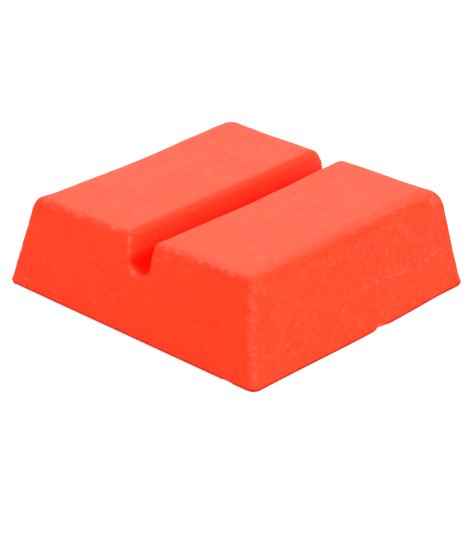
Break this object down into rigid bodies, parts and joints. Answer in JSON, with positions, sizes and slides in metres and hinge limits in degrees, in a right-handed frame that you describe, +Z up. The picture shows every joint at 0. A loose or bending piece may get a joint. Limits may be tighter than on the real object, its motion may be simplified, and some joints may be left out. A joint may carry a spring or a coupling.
{
  "type": "wax block",
  "caption": "Cast rub-on wax block: a tapered slab with rounded edges and a round-bottomed groove across its top.",
  "frame": {"origin": "centre of the flat base, which is the poured face the block rests on", "axes": "+Z up through the block's height, Y along the groove, X across it from slab to slab"},
  "size_m": [0.06, 0.0554, 0.0184],
  "materials": {
    "wax": "satin, slightly translucent fluorescent orange-red wax with a fine grain, pale scuffs and worn edges"
  },
  "bodies": {
    "root": {"wax_block": "wax"}
  },
  "joints": []
}
